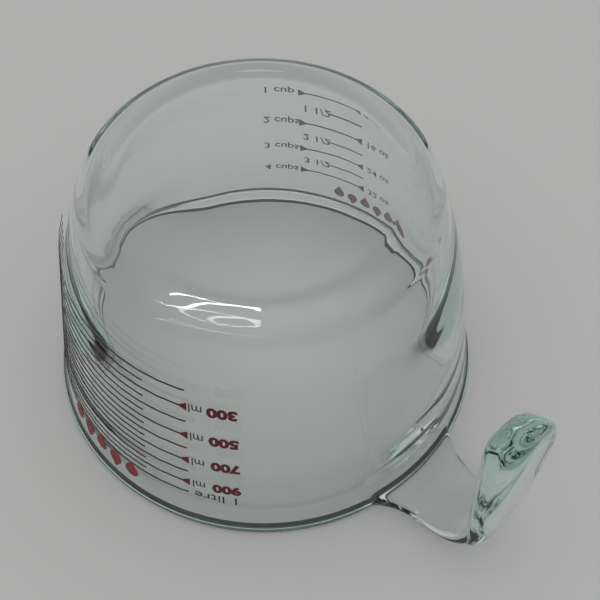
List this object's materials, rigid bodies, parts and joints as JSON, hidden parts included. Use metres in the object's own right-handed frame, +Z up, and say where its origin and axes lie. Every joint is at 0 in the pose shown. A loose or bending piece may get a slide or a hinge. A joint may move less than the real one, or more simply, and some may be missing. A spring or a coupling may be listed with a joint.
{
  "type": "measuring jug",
  "caption": "Clear glass measuring jug with a pouring spout, an open strap handle and printed volume lines, standing upside down on its rim.",
  "frame": {"origin": "middle of the bounding box in plan, on the surface the rim stands on", "axes": "+X from the jug toward its handle, +Z up through the upturned base, +Y completes a right-handed set"},
  "size_m": [0.2148, 0.1654, 0.1037],
  "materials": {
    "clear_glass": "gloss",
    "dark_enamel": "satin",
    "red_enamel": "satin"
  },
  "bodies": {
    "root": {"base": "clear_glass", "handle": "clear_glass", "line_cup_10": "red_enamel", "line_cup_15": "red_enamel", "line_cup_20": "red_enamel", "line_cup_25": "red_enamel", "line_cup_30": "red_enamel", "line_cup_35": "red_enamel", "line_cup_40": "red_enamel", "line_ml_1000": "dark_enamel", "line_ml_200": "dark_enamel", "line_ml_250": "dark_enamel", "line_ml_300": "dark_enamel", "line_ml_350": "dark_enamel", "line_ml_400": "dark_enamel", "line_ml_450": "dark_enamel", "line_ml_500": "dark_enamel", "line_ml_550": "dark_enamel", "line_ml_600": "dark_enamel", "line_ml_650": "dark_enamel", "line_ml_700": "dark_enamel", "line_ml_750": "dark_enamel", "line_ml_800": "dark_enamel", "line_ml_850": "dark_enamel", "line_ml_900": "dark_enamel", "line_ml_950": "dark_enamel", "wall": "clear_glass"}
  },
  "joints": []
}
